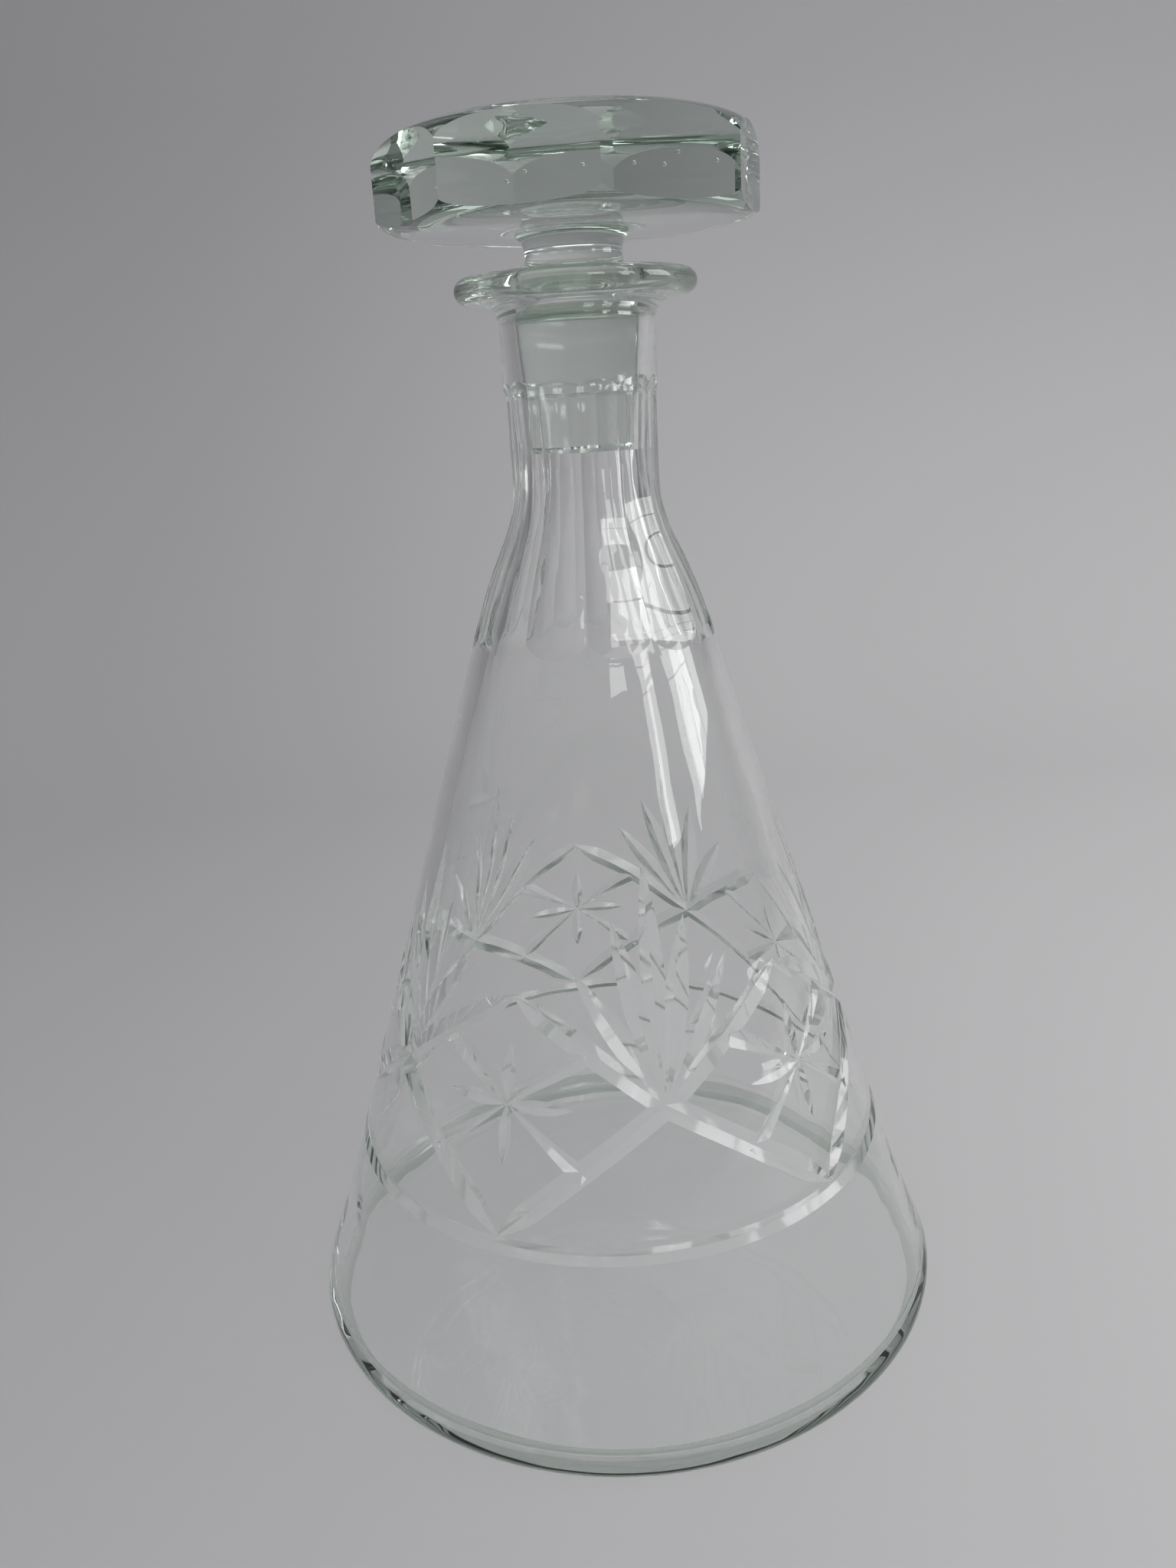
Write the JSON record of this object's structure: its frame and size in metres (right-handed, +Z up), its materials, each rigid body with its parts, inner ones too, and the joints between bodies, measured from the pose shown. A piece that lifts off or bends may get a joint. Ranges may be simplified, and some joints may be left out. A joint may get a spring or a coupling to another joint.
{
  "type": "glass decanter",
  "caption": "Conical blown glass decanter with a fluted neck, a turned-out lip, wheel-cut fans and stars round the body, and a faceted glass stopper ground into its mouth.",
  "frame": {"origin": "middle of the foot, on the surface that the decanter stands on", "axes": "+Z up along the axis of the bottle, -Y the front, through the middle of one cut fan"},
  "size_m": [0.1392, 0.1392, 0.2411],
  "materials": {
    "bottle_glass": "clear, faintly green soda glass, fire-polished, with satin wheel cuts",
    "stopper_glass": "clear, faintly green soda glass with polished flats and a ground, matt plug"
  },
  "bodies": {
    "bottle": {"bottle": "bottle_glass"},
    "stopper": {"stopper": "stopper_glass"}
  },
  "joints": [
    {"name": "stopper_lift", "type": "slide", "parent": "bottle", "child": "stopper", "axis": [0, 0, 1], "range_m": [0, 0.05]}
  ]
}
